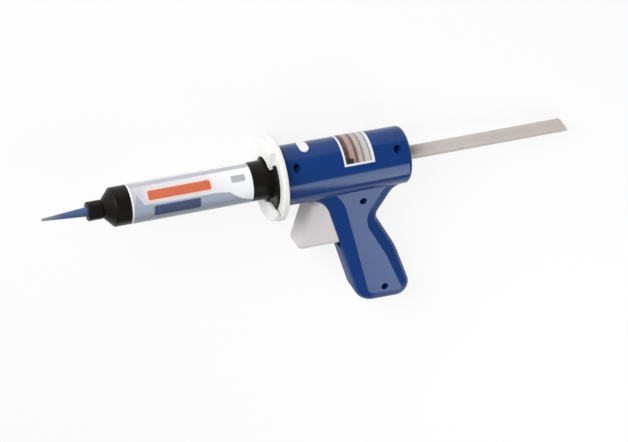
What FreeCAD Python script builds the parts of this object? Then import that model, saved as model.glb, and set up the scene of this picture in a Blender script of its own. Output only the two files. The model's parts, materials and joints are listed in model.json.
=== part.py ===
import math
import os
import re

import FreeCAD, Part
import Sketcher
from FreeCAD import Placement, Rotation, Vector

# Hand-held syringe dispensing gun with a 30 ml syringe fitted.
# Every piece is drawn in the gun's own frame: X runs along the syringe axis from the
# needle (-X) to the rod's tail (+X), with 0 at the front face of the housing, Y points
# up from the grip and Z points to the left side of the gun. One placement then lays the
# gun on its right side, on the collar's rim, the grip's panel and the housing's rear edge.

doc = FreeCAD.newDocument("syringe_gun")

sizes = {
    # housing: two moulded shells that meet on the plane Z = 0
    "housingLength": 90.0,
    "housingFrontRadius": 20.3,
    "housingRearRadius": 19.4,
    "housingRearEdgeRadius": 3.0,
    "wall": 2.4,
    "rearWall": 3.0,
    "boreRadius": 17.4,
    "gripHalfWidth": 14.0,
    "gripEdgeRadius": 5.5,
    "gripTop": -4.0,
    "panelDrop": 3.5,
    "panelFrontInset": 11.9,
    "panelRearInset": 8.7,
    "panelToeInset": 7.8,
    "panelHeelInset": 7.2,
    "gripFrontStart": 12.0,
    "gripRearEnd": 86.4,
    "archX": 17.5,
    "archY": -34.5,
    "archRadius": 16.4,
    "toeX": 65.0,
    "toeY": -90.3,
    "toeRadius": 13.0,
    "heelX": 81.3,
    "heelY": -93.8,
    "heelRadius": 9.6,
    "palmRearX": 86.5,
    "palmY": -89.0,
    "palmRadius": 60.0,
    "neckX": 75.2,
    "neckY": -37.8,
    "neckRadius": 7.2,
    "tailX": 86.0,
    "tailY": -28.2,
    "tailRadius": 10.6,
    "slotHalfWidth": 9.75,
    "slotFront": 13.0,
    "slotRear": 60.0,
    "slotTop": -11.0,
    "slotBottom": -58.2,
    "ribThickness": 2.4,
    "frontRibX": 50.0,
    "rearRibX": 70.0,
    # housing screws
    "screwUpperY": 12.9,
    "screwFrontX": 9.5,
    "screwRearX": 80.4,
    "screwNeckX": 56.6,
    "screwNeckY": -22.3,
    "screwToeX": 72.0,
    "screwToeY": -91.7,
    "bossRadius": 3.9,
    "screwShankRadius": 1.35,
    "screwHoleClearance": 0.2,
    "screwHeadRadius": 2.2,
    "screwHeadHeight": 1.9,
    "screwHeadClearance": 0.25,
    "screwSlotWidth": 0.8,
    "screwSeatZ": 9.0,
    "screwTipZ": -9.0,
    "screwPilotClearance": 0.05,
    # slot on top of the housing for the collar's lug
    "lugX": 18.7,
    "lugWidth": 6.6,
    "lugLength": 13.4,
    "lugGap": 0.2,
    # collar
    "collarRadius": 29.2,
    "collarPlate": 4.0,
    "flangeSlot": 2.3,
    "lipThickness": 1.9,
    "lipInset": 0.8,
    "lipGapHalfHeight": 13.45,
    "lipSeatRadius": 15.4,
    "upperLipEnd": 12.0,
    "collarHole": 12.6,
    "spigotLength": 22.5,
    "spigotGap": 0.15,
    "spigotWall": 2.2,
    "lugRise": 0.4,
    "collarEdgeRadius": 1.0,
    # syringe barrel
    "barrelRadius": 13.1,
    "barrelWall": 1.35,
    "shoulderEdge": 1.5,
    "barrelFront": -114.5,
    "flangeThickness": 2.0,
    "flangeRadius": 21.0,
    "flangeHalfWidth": 15.8,
    "shoulderLength": 6.5,
    "nozzleNeckRadius": 5.2,
    "nozzleLength": 9.7,
    "nozzleRadius": 6.4,
    "nozzleBore": 4.3,
    "nozzleEdge": 0.8,
    "nozzleDepth": 8.4,
    "flangeGap": 0.15,
    "flangeSideGap": 0.3,
    "luerRadius": 2.1,
    "luerTipRadius": 1.95,
    "luerBore": 1.0,
    "luerReach": 2.0,
    # label on the barrel
    "labelFront": -103.2,
    "labelRear": -19.8,
    "labelThickness": 0.15,
    # piston
    "pistonFront": -24.0,
    "pistonLength": 11.0,
    "pistonLip": 1.8,
    "pistonClearance": 0.08,
    "pistonWaist": 0.7,
    "pistonWall": 1.6,
    # tapered tip
    "tipLength": 30.5,
    "tipHubLength": 8.2,
    "tipHubRadius": 3.9,
    "tipBaseRadius": 3.2,
    "tipEndRadius": 0.85,
    "tipBore": 0.4,
    "tipSeat": 0.12,
    "tipShoulder": 0.6,
    # push rod
    "rodRadius": 4.7,
    "rodFront": -7.6,
    "rodTail": 206.8,
    "rackHalfWidth": 2.2,
    "rackRoot": 2.9,
    "rackPitch": 3.0,
    "rackLand": 0.75,
    "rackStart": 9.0,
    "rackTeeth": 62,
    "rodTailRadius": 11.0,
    "rodClearance": 0.3,
    # pusher head on the rod
    "headFront": -12.4,
    "headLength": 8.0,
    "headRadius": 11.0,
    "headScrewRadius": 1.4,
    "headScrewHeadRadius": 2.7,
    "headScrewHeadHeight": 1.6,
    "headScrewLength": 12.0,
    "headChamfer": 0.8,
    # trigger
    "pivotX": 34.0,
    "pivotY": -18.5,
    "pivotRadius": 2.0,
    "pivotClearance": 0.06,
    "pivotBossRadius": 4.0,
    "pivotEnd": 11.6,
    "pinChamfer": 0.3,
    "triggerHalfWidth": 9.25,
    "triggerWall": 2.2,
    "triggerFront": 2.4,
    "triggerEdgeRadius": 3.5,
    "triggerToeX": 16.3,
    "triggerToeY": -50.6,
    "triggerToeRadius": 4.2,
    "triggerBrowX": 25.2,
    "triggerBrowY": -25.2,
    "triggerBrowRadius": 5.0,
    "triggerHeelX": 43.5,
    "triggerWebX": 29.3,
    "triggerWebY": -16.6,
    "triggerWebDepth": 1.6,
    "triggerShoulderX": 39.0,
    "triggerShoulderY": -21.0,
    "triggerShoulderRadius": 3.6,
    "earRadius": 3.0,
    # pawl
    "pawlPinX": 36.5,
    "pawlPinY": -9.6,
    "pawlPinRadius": 1.25,
    "pawlClearance": 0.06,
    "pawlHalfWidth": 1.8,
    "pawlHubRadius": 2.9,
    "pawlNoseX": 28.4,
    "pawlNoseLength": 3.1,
    "rackGap": 0.5,
    "pawlTailX": 41.5,
    "pawlTailY": -11.9,
    "pawlTailDepth": 2.3,
    "pawlBossRadius": 1.95,
    # springs
    "returnWire": 0.55,
    "returnCoilRadius": 2.9,
    "returnTurns": 4,
    "returnFrontLegAngle": -48.6,
    "returnFrontLegLength": 20.0,
    "returnRearLegLength": 18.5,
    "pawlWire": 0.3,
    "pawlTurns": 3,
    "pawlWebLegAngle": -56.0,
    "pawlNoseLegAngle": 72.0,
    "pawlWebLegLength": 7.9,
    "pawlNoseLegLength": 6.5,
    # rod brake
    "brakeEndGap": 0.3,
    "brakeHalfWidth": 3.6,
    "brakeThickness": 2.6,
    "brakeGap": 0.15,
    "brakeSpringThickness": 0.5,
    "brakeSpringSpan": 15.0,
    "brakeSpringRise": 2.2,
    "brakeSpringHalfWidth": 3.0,
    "brakeShelfThickness": 1.8,
    # sticker on the housing
    "stickerFront": 42.1,
    "stickerLength": 21.4,
    "stickerSweep": 128.0,
    "stickerThickness": 0.2,
    "stickerGap": 0.02,
}

sheet = doc.addObject("Spreadsheet::Sheet", "Sizes")
for row, (alias, size) in enumerate(sizes.items(), start=1):
    sheet.set("A%d" % row, alias)
    sheet.set("B%d" % row, str(size))
    sheet.setAlias("B%d" % row, alias)
doc.recompute()

word = re.compile(r"[A-Za-z_]\w*")


def bound(text):
    """An expression on the sheet: each size's name gets the sheet's name in front."""
    return word.sub(lambda m: "Sizes." + m.group(0) if m.group(0) in sizes else m.group(0), text)


def value(text):
    return float(sheet.evalExpression(bound(text)))


# --- sketches -------------------------------------------------------------------------


def newBody(name):
    body = doc.addObject("PartDesign::Body", name)
    body.Label = name
    return body


def newSketch(body, name, plane="XY_Plane", offset=None):
    sketch = body.newObject("Sketcher::SketchObject", name)
    support = next(f for f in body.Origin.OriginFeatures if f.Role == plane)
    sketch.AttachmentSupport = [(support, "")]
    sketch.MapMode = "FlatFace"
    if offset:
        sketch.setExpression("AttachmentOffset.Base.z", bound(offset))
    return sketch


def constrain(sketch, *arguments):
    """Add a constraint; a text as its last argument is an expression on the sheet."""
    if isinstance(arguments[-1], str):
        text = arguments[-1]
        index = sketch.addConstraint(Sketcher.Constraint(*arguments[:-1], value(text)))
        sketch.setExpression("Constraints[%d]" % index, bound(text))
    else:
        sketch.addConstraint(Sketcher.Constraint(*arguments))


def outline(sketch, chain):
    """Draw a closed outline, counter-clockwise, as lines tangent to the chain's arcs.

    An entry is ("corner", x, y) or ("arc", x, y, radius, turn): turn is 1 where the
    outline bulges out round the arc's centre and -1 where it is hollow.
    """
    centres = [Vector(value(entry[1]), value(entry[2]), 0) for entry in chain]
    radii = [value(entry[3]) * entry[4] if entry[0] == "arc" else 0.0 for entry in chain]
    count = len(chain)
    ends = [[None, None] for entry in chain]
    lines = []
    for i in range(count):
        j = (i + 1) % count
        span = centres[j] - centres[i]
        heading = math.atan2(span.y, span.x) - math.asin((radii[j] - radii[i]) / span.Length)
        normal = Vector(-math.sin(heading), math.cos(heading), 0)
        ends[i][1] = centres[i] - normal * radii[i]
        ends[j][0] = centres[j] - normal * radii[j]
        lines.append(sketch.addGeometry(Part.LineSegment(ends[i][1], ends[j][0]), False))
    for i, entry in enumerate(chain):
        before = lines[i - 1]
        after = lines[i]
        if entry[0] == "corner":
            constrain(sketch, "Coincident", before, 2, after, 1)
            constrain(sketch, "DistanceX", -1, 1, after, 1, entry[1])
            constrain(sketch, "DistanceY", -1, 1, after, 1, entry[2])
            continue
        angles = [math.atan2(end.y - centres[i].y, end.x - centres[i].x) for end in ends[i]]
        entryEnd, exitEnd = (1, 2) if entry[4] > 0 else (2, 1)
        circle = Part.Circle(centres[i], Vector(0, 0, 1), abs(radii[i]))
        first, last = angles if entry[4] > 0 else angles[::-1]
        arc = sketch.addGeometry(Part.ArcOfCircle(circle, first, last), False)
        constrain(sketch, "DistanceX", -1, 1, arc, 3, entry[1])
        constrain(sketch, "DistanceY", -1, 1, arc, 3, entry[2])
        constrain(sketch, "Radius", arc, entry[3])
        constrain(sketch, "Tangent", before, 2, arc, entryEnd)
        constrain(sketch, "Tangent", after, 1, arc, exitEnd)


def circleIn(sketch, x, y, radius):
    centre = Vector(value(x), value(y), 0)
    circle = sketch.addGeometry(Part.Circle(centre, Vector(0, 0, 1), value(radius)), False)
    constrain(sketch, "DistanceX", -1, 1, circle, 3, x)
    constrain(sketch, "DistanceY", -1, 1, circle, 3, y)
    constrain(sketch, "Radius", circle, radius)


def rectangle(left, bottom, right, top):
    return [("corner", left, bottom), ("corner", right, bottom),
            ("corner", right, top), ("corner", left, top)]


# --- features -------------------------------------------------------------------------


def pad(body, name, sketch, length, midplane=False, backwards=False):
    feature = body.newObject("PartDesign::Pad", name)
    feature.Profile = sketch
    feature.setExpression("Length", bound(length))
    feature.Midplane = midplane
    feature.Reversed = backwards
    return feature


def pocket(body, name, sketch, length, midplane=False, backwards=False):
    """Cut a sketch away from its plane: against the normal, or with it when backwards."""
    doc.recompute()
    before = body.Shape.Volume
    feature = body.newObject("PartDesign::Pocket", name)
    feature.Profile = sketch
    feature.setExpression("Length", bound(length))
    feature.Midplane = midplane
    feature.Reversed = backwards
    doc.recompute()
    if body.Shape.Volume > before - 1e-3:
        raise RuntimeError("the pocket %s cuts nothing" % name)
    return feature


def revolve(body, name, sketch, angle="360", midplane=False):
    feature = body.newObject("PartDesign::Revolution", name)
    feature.Profile = sketch
    feature.ReferenceAxis = (sketch, ["H_Axis"])
    feature.setExpression("Angle", bound(angle))
    feature.Midplane = midplane
    return feature


def turned(name, chain, angle="360", midplane=False):
    """A piece turned about the X axis from an outline above it."""
    body = newBody(name)
    sketch = newSketch(body, name + "Profile")
    outline(sketch, chain)
    revolve(body, name + "Turning", sketch, angle, midplane)
    return body


def fillet(body, name, base, edges, radius):
    feature = body.newObject("PartDesign::Fillet", name)
    feature.Base = (base, edges)
    feature.setExpression("Radius", bound(radius))
    return feature


def edgesWhere(shape, test):
    return ["Edge%d" % (i + 1) for i, edge in enumerate(shape.Edges) if test(edge.BoundBox)]


def cylinder(name, axis, x, y, z, radius, length):
    """A plain cylinder that starts at a point and runs along X or Z."""
    piece = doc.addObject("Part::Cylinder", name)
    piece.setExpression("Radius", bound(radius))
    piece.setExpression("Height", bound(length))
    if axis == "X":
        piece.Placement = Placement(Vector(), Rotation(Vector(0, 1, 0), 90))
    for letter, text in zip("xyz", (x, y, z)):
        piece.setExpression("Placement.Base." + letter, bound(text))
    return piece


def block(name, x, y, z, length, height, depth):
    """A plain block from its lowest corner, sized along X, Y and Z."""
    piece = doc.addObject("Part::Box", name)
    for size, text in zip(("Length", "Width", "Height"), (length, height, depth)):
        piece.setExpression(size, bound(text))
    for letter, text in zip("xyz", (x, y, z)):
        piece.setExpression("Placement.Base." + letter, bound(text))
    return piece


def cut(name, base, tool):
    piece = doc.addObject("Part::Cut", name)
    piece.Base = base
    piece.Tool = tool
    return piece


def common(name, base, tool):
    piece = doc.addObject("Part::Common", name)
    piece.Base = base
    piece.Tool = tool
    return piece


def fuse(name, pieces):
    piece = doc.addObject("Part::MultiFuse", name)
    piece.Shapes = pieces
    return piece


# --- housing --------------------------------------------------------------------------

shoeTop = "rodRadius + brakeGap + brakeThickness"
shelfY = shoeTop + " + brakeGap + brakeSpringRise + brakeSpringThickness"

screwPlaces = {
    "Front": ("screwFrontX", "screwUpperY"),
    "Rear": ("screwRearX", "screwUpperY"),
    "Neck": ("screwNeckX", "screwNeckY"),
    "Toe": ("screwToeX", "screwToeY"),
}


def gripOutline(inset):
    """The pistol grip from the side; an inset draws the same outline inside the wall."""
    hollow = " + " + inset
    bulge = " - " + inset
    return [
        ("corner", "gripFrontStart" + hollow, "gripTop"),
        ("corner", "gripFrontStart" + hollow, "archY + archRadius" + hollow),
        ("arc", "archX", "archY", "archRadius" + hollow, -1),
        ("arc", "toeX", "toeY", "toeRadius" + bulge, 1),
        ("arc", "heelX", "heelY", "heelRadius" + bulge, 1),
        ("arc", "palmRearX - palmRadius", "palmY", "palmRadius" + bulge, 1),
        ("arc", "neckX", "neckY", "neckRadius" + hollow, -1),
        ("arc", "tailX", "tailY", "tailRadius" + hollow, -1),
        ("corner", "gripRearEnd", "tailY + tailRadius" + hollow),
        ("corner", "gripRearEnd", "gripTop"),
    ]


def panelOutline():
    """The flat panel on the grip's flank, with one entry for each one of the grip's outline."""
    return [
        ("corner", "gripFrontStart", "gripTop"),
        ("corner", "gripFrontStart", "archY + archRadius + panelFrontInset"),
        ("arc", "archX", "archY", "archRadius + panelFrontInset", -1),
        ("arc", "toeX", "toeY", "toeRadius - panelToeInset", 1),
        ("arc", "heelX", "heelY", "heelRadius - panelHeelInset", 1),
        ("arc", "palmRearX - palmRadius", "palmY", "palmRadius - panelRearInset", 1),
        ("arc", "neckX", "neckY", "neckRadius + panelRearInset", -1),
        ("arc", "tailX", "tailY", "tailRadius + panelRearInset", -1),
        ("corner", "gripRearEnd", "tailY + tailRadius + panelRearInset"),
        ("corner", "gripRearEnd", "gripTop"),
    ]


def housingSolid(name, inset, barrel):
    """Half a grip with a flat panel on its flank, and half a barrel turned about the axis.

    The panel stops at a crease, from where the flank slopes to the grip's rounded edge.
    """
    body = newBody(name)
    rim = "gripHalfWidth - panelDrop - " + inset
    side = newSketch(body, name + "Side")
    outline(side, gripOutline(inset))
    pad(body, name + "Grip", side, rim)
    lower = newSketch(body, name + "Rim", "XY_Plane", rim)
    outline(lower, gripOutline(inset))
    panel = newSketch(body, name + "Panel", "XY_Plane", "gripHalfWidth - " + inset)
    outline(panel, panelOutline())
    slope = body.newObject("PartDesign::AdditiveLoft", name + "Slope")
    slope.Profile = lower
    slope.Sections = [panel]
    slope.Ruled = True
    doc.recompute()
    level = value(rim)
    top = value("gripTop")
    edges = edgesWhere(slope.Shape, lambda box: (
        abs(box.ZMin - level) < 0.01 and abs(box.ZMax - level) < 0.01 and box.YMax < top))
    fillet(body, name + "Edge", slope, edges, "gripEdgeRadius - " + inset)
    profile = newSketch(body, name + "Profile")
    outline(profile, barrel)
    revolve(body, name + "Barrel", profile, "180")
    return body


def lugPost(name, gap):
    """An upright post with rounded ends: the lug on the collar and the slot that it fits."""
    radius = "lugWidth / 2 - " + gap
    reach = "(lugLength - lugWidth) / 2"
    post = newBody(name)
    plan = newSketch(post, name + "Plan", "XZ_Plane")
    outline(plan, [("arc", "lugX", "-" + reach, radius, 1), ("arc", "lugX", reach, radius, 1)])
    pad(post, name + "Pad", plan, "housingFrontRadius + 2", backwards=True)
    return post


def shellBlank():
    """The left shell without its screw holes."""
    outer = housingSolid("housingOuter", "0", [
        ("corner", "0", "0"),
        ("corner", "housingLength", "0"),
        ("arc", "housingLength - housingRearEdgeRadius",
         "housingRearRadius - housingRearEdgeRadius", "housingRearEdgeRadius", 1),
        ("corner", "0", "housingFrontRadius"),
    ])
    inner = housingSolid("housingInner", "wall", rectangle(
        "0", "0", "housingLength - rearWall", "boreRadius"))
    triggerSlot = block(
        "triggerSlot", "slotFront", "slotBottom", "0",
        "slotRear - slotFront", "slotTop - slotBottom", "slotHalfWidth")
    hollow = cut("shellHollow", outer, fuse("shellInside", [inner, triggerSlot]))
    fittings = []
    for place, (x, y) in screwPlaces.items():
        fittings.append(cylinder("boss" + place, "Z", x, y, "0", "bossRadius", "housingFrontRadius"))
    fittings.append(cylinder(
        "pivotBoss", "Z", "pivotX", "pivotY", "slotHalfWidth", "pivotBossRadius", "gripHalfWidth"))
    for place in ("front", "rear"):
        fittings.append(cylinder(
            place + "Rib", "X", place + "RibX", "0", "0", "boreRadius + 1", "ribThickness"))
    fittings.append(block(
        "brakeShelf", "frontRibX", shelfY, "0", "rearRibX - frontRibX", "brakeShelfThickness",
        "boreRadius"))
    inside = common("shellFittings", fuse("shellFittingBlocks", fittings), outer)
    shell = fuse("shellWithFittings", [hollow, inside])
    lugSlot = lugPost("lugSlot", "0")
    rodHole = cylinder(
        "rodHole", "X", "frontRibX - 1", "0", "0", "rodRadius + rodClearance",
        "housingLength - frontRibX + 2")
    pivotSocket = cylinder(
        "pivotSocket", "Z", "pivotX", "pivotY", "0", "pivotRadius + pivotClearance",
        "pivotEnd + pivotClearance")
    return cut("shellBlank", shell, fuse("shellCuts", [lugSlot, rodHole, pivotSocket]))


def housingHalves():
    blank = shellBlank()
    holes = []
    pilots = []
    for place, (x, y) in screwPlaces.items():
        holes.append(cylinder(
            "shankHole" + place, "Z", x, y, "-1", "screwShankRadius + screwHoleClearance",
            "screwSeatZ + 2"))
        holes.append(cylinder(
            "headHole" + place, "Z", x, y, "screwSeatZ", "screwHeadRadius + screwHeadClearance",
            "housingFrontRadius"))
        pilots.append(cylinder(
            "pilotHole" + place, "Z", x, y, "screwTipZ - 1",
            "screwShankRadius + screwPilotClearance", "2 - screwTipZ"))
    left = cut("housing_left", blank, fuse("screwHoles", holes))
    mirrored = doc.addObject("Part::Mirroring", "shellBlankMirrored")
    mirrored.Source = blank
    mirrored.Base = Vector()
    mirrored.Normal = Vector(0, 0, 1)
    right = cut("housing_right", mirrored, fuse("pilotHoles", pilots))
    return [left, right]


def screw(place, x, y):
    head = cylinder(
        "screwHead" + place, "Z", x, y, "screwSeatZ", "screwHeadRadius", "screwHeadHeight")
    shank = cylinder(
        "screwShank" + place, "Z", x, y, "screwTipZ", "screwShankRadius", "screwSeatZ - screwTipZ")
    slot = block(
        "screwSlot" + place, x + " - screwHeadRadius * 0.6", y + " - screwSlotWidth / 2",
        "screwSeatZ + screwHeadHeight - screwSlotWidth", "screwHeadRadius * 1.2",
        "screwSlotWidth", "screwSlotWidth * 2")
    crossSlot = block(
        "screwCrossSlot" + place, x + " - screwSlotWidth / 2", y + " - screwHeadRadius * 0.6",
        "screwSeatZ + screwHeadHeight - screwSlotWidth", "screwSlotWidth",
        "screwHeadRadius * 1.2", "screwSlotWidth * 2")
    solid = fuse("screwBlank" + place, [head, shank])
    return cut("screw" + place, solid, fuse("screwDrive" + place, [slot, crossSlot]))


def housingScrews():
    group = doc.addObject("Part::Compound", "housing_screws")
    group.Links = [screw(place, x, y) for place, (x, y) in screwPlaces.items()]
    return group


def housingRadiusAt(x):
    """The tapered barrel's outer radius at a place along the axis."""
    taper = "(housingFrontRadius - housingRearRadius) / (housingLength - housingRearEdgeRadius)"
    return "housingFrontRadius - (%s) * %s" % (x, taper)


def housingSticker():
    rear = "stickerFront + stickerLength"

    def under(x):
        return housingRadiusAt(x) + " + stickerGap"

    return turned("housing_sticker", [
        ("corner", "stickerFront", under("stickerFront")),
        ("corner", rear, under(rear)),
        ("corner", rear, under(rear) + " + stickerThickness"),
        ("corner", "stickerFront", under("stickerFront") + " + stickerThickness"),
    ], "stickerSweep", midplane=True)


# --- collar ---------------------------------------------------------------------------


def collar():
    """The cup on the housing's front: a plate, a spigot, a lug and two lips over the flange.

    The upper lip stops short, so that the flange can swing in from the left.
    """
    body = newBody("collarCup")
    profile = newSketch(body, "collarProfile")
    front = "-collarPlate - flangeSlot - lipThickness"
    spigot = "boreRadius - spigotGap"
    lipEdge = "collarRadius - lipInset"
    outline(profile, [
        ("corner", front, "collarHole"),
        ("corner", "0", "collarHole"),
        ("corner", "0", spigot + " - spigotWall"),
        ("corner", "spigotLength", spigot + " - spigotWall"),
        ("corner", "spigotLength", spigot),
        ("corner", "0", spigot),
        ("arc", "-collarEdgeRadius", "collarRadius - collarEdgeRadius", "collarEdgeRadius", 1),
        ("arc", "-collarPlate + collarEdgeRadius", "collarRadius - collarEdgeRadius",
         "collarEdgeRadius", 1),
        ("corner", "-collarPlate", lipEdge),
        ("arc", front + " + collarEdgeRadius", lipEdge + " - collarEdgeRadius",
         "collarEdgeRadius", 1),
    ])
    revolve(body, "collarTurning", profile)
    lips = newSketch(body, "lipOpening", "YZ_Plane", "-collarPlate")
    outline(lips, [
        ("corner", "-lipGapHalfHeight", "collarRadius + 1"),
        ("arc", "0", "0", "lipGapHalfHeight", 1),
        ("corner", "lipGapHalfHeight", "collarRadius + 1"),
    ])
    pocket(body, "lipOpeningCut", lips, "flangeSlot + lipThickness")
    seat = newSketch(body, "lipSeat", "YZ_Plane", "-collarPlate")
    circleIn(seat, "0", "0", "lipSeatRadius")
    pocket(body, "lipSeatCut", seat, "flangeSlot + lipThickness")
    upper = newSketch(body, "upperLip", "YZ_Plane", "-collarPlate")
    outline(upper, rectangle("0", "upperLipEnd", "collarRadius + 1", "collarRadius + 1"))
    pocket(body, "upperLipCut", upper, "flangeSlot + lipThickness")
    slot = newSketch(body, "flangeSlotOpening", "YZ_Plane", "-collarPlate")
    outline(slot, rectangle(
        "-flangeHalfWidth - flangeSideGap", "-flangeRadius - flangeSideGap",
        "flangeHalfWidth + flangeSideGap", "collarRadius + 1"))
    pocket(body, "flangeSlotCut", slot, "flangeSlot")
    bosses = newSketch(body, "bossClearance")
    circleIn(bosses, "screwFrontX", "screwUpperY", "bossRadius + flangeSideGap")
    pocket(body, "bossClearanceCut", bosses, "2 * collarRadius", midplane=True)
    lugRing = turned("lugRing", rectangle(
        "lugX - lugWidth", spigot + " - spigotWall / 2", "lugX + lugWidth",
        "housingFrontRadius + lugRise"), "180", midplane=True)
    lug = common("lug", lugRing, lugPost("lugPost", "lugGap"))
    return fuse("collar", [body, lug])


# --- syringe --------------------------------------------------------------------------

barrelRear = "-collarPlate - flangeGap"
nozzleRear = "barrelFront - shoulderLength"
nozzleFront = "barrelFront - shoulderLength - nozzleLength"


def syringeBarrel():
    body = newBody("syringe_barrel")
    profile = newSketch(body, "barrelProfile")
    outline(profile, [
        ("corner", nozzleFront + " - luerReach", "luerBore"),
        ("corner", "barrelFront - shoulderLength / 3", "luerBore"),
        ("corner", "barrelFront + barrelWall", "barrelRadius - barrelWall"),
        ("corner", barrelRear, "barrelRadius - barrelWall"),
        ("corner", barrelRear, "flangeRadius"),
        ("corner", barrelRear + " - flangeThickness", "flangeRadius"),
        ("corner", barrelRear + " - flangeThickness", "barrelRadius"),
        ("arc", "barrelFront + shoulderEdge", "barrelRadius - shoulderEdge", "shoulderEdge", 1),
        ("corner", nozzleRear, "nozzleNeckRadius"),
        ("corner", nozzleRear, "nozzleRadius"),
        ("arc", nozzleFront + " + nozzleEdge", "nozzleRadius - nozzleEdge", "nozzleEdge", 1),
        ("corner", nozzleFront, "nozzleBore"),
        ("corner", nozzleFront + " + nozzleDepth", "nozzleBore"),
        ("corner", nozzleFront + " + nozzleDepth", "luerRadius"),
        ("corner", nozzleFront + " - luerReach", "luerTipRadius"),
    ])
    revolve(body, "barrelTurning", profile)
    trim = newSketch(body, "flangeFlats", "YZ_Plane", barrelRear)
    outline(trim, rectangle(
        "flangeHalfWidth", "-flangeRadius - 1", "flangeRadius + 1", "flangeRadius + 1"))
    outline(trim, rectangle(
        "-flangeRadius - 1", "-flangeRadius - 1", "-flangeHalfWidth", "flangeRadius + 1"))
    pocket(body, "flangeFlatsCut", trim, "flangeThickness")
    return body


def barrelLabel():
    return turned("barrel_label", rectangle(
        "labelFront", "barrelRadius", "labelRear", "barrelRadius + labelThickness"))


def syringePiston():
    """A hollow plunger with two wiping lips and a waist between them."""
    lip = "barrelRadius - barrelWall - pistonClearance"
    rear = "pistonFront + pistonLength"
    return turned("syringe_piston", [
        ("corner", "pistonFront", "0"),
        ("corner", "pistonFront + pistonWall", "0"),
        ("corner", "pistonFront + pistonWall", lip + " - pistonWaist - pistonWall"),
        ("corner", rear, lip + " - pistonWaist - pistonWall"),
        ("corner", rear, lip),
        ("corner", rear + " - pistonLip", lip),
        ("corner", rear + " - pistonLip - pistonWaist", lip + " - pistonWaist"),
        ("corner", "pistonFront + pistonLip + 2 * pistonWaist", lip + " - pistonWaist"),
        ("corner", "pistonFront + pistonLip + pistonWaist", lip),
        ("corner", "pistonFront + pistonWaist", lip),
        ("corner", "pistonFront", lip + " - pistonWaist"),
    ])


def dispensingTip():
    """A tapered tip whose hub sits in the nozzle's collar, over the luer."""
    hubRear = nozzleFront + " + tipHubLength"
    tipEnd = nozzleFront + " - tipLength"
    return turned("dispensing_tip", [
        ("corner", tipEnd, "tipBore"),
        ("corner", nozzleFront + " - luerReach - tipSeat", "luerTipRadius"),
        ("corner", nozzleFront + " - luerReach", "luerRadius + tipSeat"),
        ("corner", hubRear, "luerRadius + tipSeat"),
        ("corner", hubRear, "tipHubRadius"),
        ("corner", nozzleFront + " - tipShoulder", "tipHubRadius"),
        ("corner", nozzleFront + " - tipShoulder", "tipBaseRadius"),
        ("corner", tipEnd, "tipEndRadius"),
    ])


# --- push rod -------------------------------------------------------------------------


def pushRod():
    """A round rod with a rack of notches cut up into its underside."""
    body = newBody("rodBlank")
    profile = newSketch(body, "rodProfile")
    outline(profile, rectangle("rodFront", "0", "rodTail + 1", "rodRadius"))
    revolve(body, "rodTurning", profile)
    pilot = newSketch(body, "headScrewPilot", "YZ_Plane", "rodFront")
    circleIn(pilot, "0", "0", "headScrewRadius + screwPilotClearance")
    pocket(body, "headScrewPilotCut", pilot, "headScrewLength", backwards=True)
    notch = newSketch(body, "rackNotchProfile")
    outline(notch, [
        ("corner", "rackStart", "-rackRoot"),
        ("corner", "rackStart", "-rodRadius - 1"),
        ("corner", "rackStart + rackPitch - rackLand", "-rodRadius - 1"),
        ("corner", "rackStart + rackPitch - rackLand", "-rodRadius"),
    ])
    first = pocket(body, "rackNotch", notch, "2 * rackHalfWidth", midplane=True)
    rack = body.newObject("PartDesign::LinearPattern", "rack")
    rack.Originals = [first]
    rack.Direction = (profile, ["H_Axis"])
    rack.setExpression("Length", bound("(rackTeeth - 1) * rackPitch"))
    rack.setExpression("Occurrences", bound("rackTeeth"))
    body.Tip = rack
    side = newBody("rodSide")
    sideSketch = newSketch(side, "rodSideOutline")
    outline(sideSketch, [
        ("corner", "rodFront - 1", "-rodRadius - 1"),
        ("corner", "rodTail", "-rodRadius - 1"),
        ("arc", "rodTail - rodTailRadius", "rodRadius + 1 - rodTailRadius", "rodTailRadius", 1),
        ("corner", "rodFront - 1", "rodRadius + 1"),
    ])
    pad(side, "rodSidePad", sideSketch, "3 * rodRadius", midplane=True)
    return common("push_rod", body, side)


def pusherHead():
    """The disc on the rod's front end that presses the piston."""
    rear = "headFront + headLength"
    return turned("pusher_head", [
        ("corner", "headFront + headScrewHeadHeight", "headScrewRadius + screwPilotClearance"),
        ("corner", "rodFront", "headScrewRadius + screwPilotClearance"),
        ("corner", "rodFront", "rodRadius + screwPilotClearance"),
        ("corner", rear, "rodRadius + screwPilotClearance"),
        ("corner", rear, "headRadius - headChamfer"),
        ("corner", rear + " - headChamfer", "headRadius"),
        ("corner", "headFront + headChamfer", "headRadius"),
        ("corner", "headFront", "headRadius - headChamfer"),
        ("corner", "headFront", "headScrewHeadRadius + screwHeadClearance"),
        ("corner", "headFront + headScrewHeadHeight", "headScrewHeadRadius + screwHeadClearance"),
    ])


def headScrew():
    return turned("head_screw", [
        ("corner", "headFront + screwHeadClearance", "0"),
        ("corner", "rodFront + headScrewLength - 1", "0"),
        ("corner", "rodFront + headScrewLength - 1 - headScrewRadius", "headScrewRadius"),
        ("corner", "headFront + headScrewHeadHeight", "headScrewRadius"),
        ("corner", "headFront + headScrewHeadHeight", "headScrewHeadRadius"),
        ("corner", "headFront + screwHeadClearance", "headScrewHeadRadius"),
    ])


# --- trigger and pawl -----------------------------------------------------------------


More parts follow.
